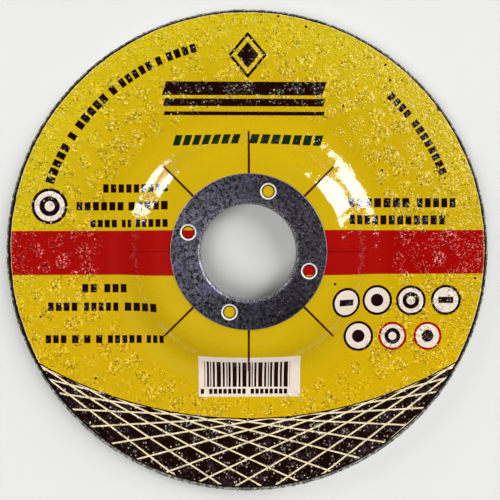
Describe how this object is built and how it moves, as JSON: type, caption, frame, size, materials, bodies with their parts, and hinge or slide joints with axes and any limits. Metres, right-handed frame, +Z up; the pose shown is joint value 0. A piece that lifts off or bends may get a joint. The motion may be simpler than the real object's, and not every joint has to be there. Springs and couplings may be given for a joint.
{
  "type": "cut off wheel",
  "caption": "Thin abrasive cut-off wheel with a depressed centre, a printed paper label and a pressed steel ring in its bore, for an angle grinder.",
  "frame": {"origin": "centre of the flat face that the wheel rests on", "axes": "+Z up the bore, out of the label side; +Y towards the label's top; +X to the label's right"},
  "size_m": [0.115, 0.115, 0.0081],
  "materials": {
    "abrasive": "rough resin-bonded grain, dark grey-brown, dusty along the rim",
    "label": "printed and varnished paper, yellow with a red band and a dark field, embossed by the grain under it",
    "ring_steel": "dark mottled tinned sheet with bright punched edges"
  },
  "bodies": {
    "root": {"abrasive_wheel": "abrasive", "paper_label": "label", "steel_ring": "ring_steel"}
  },
  "joints": []
}
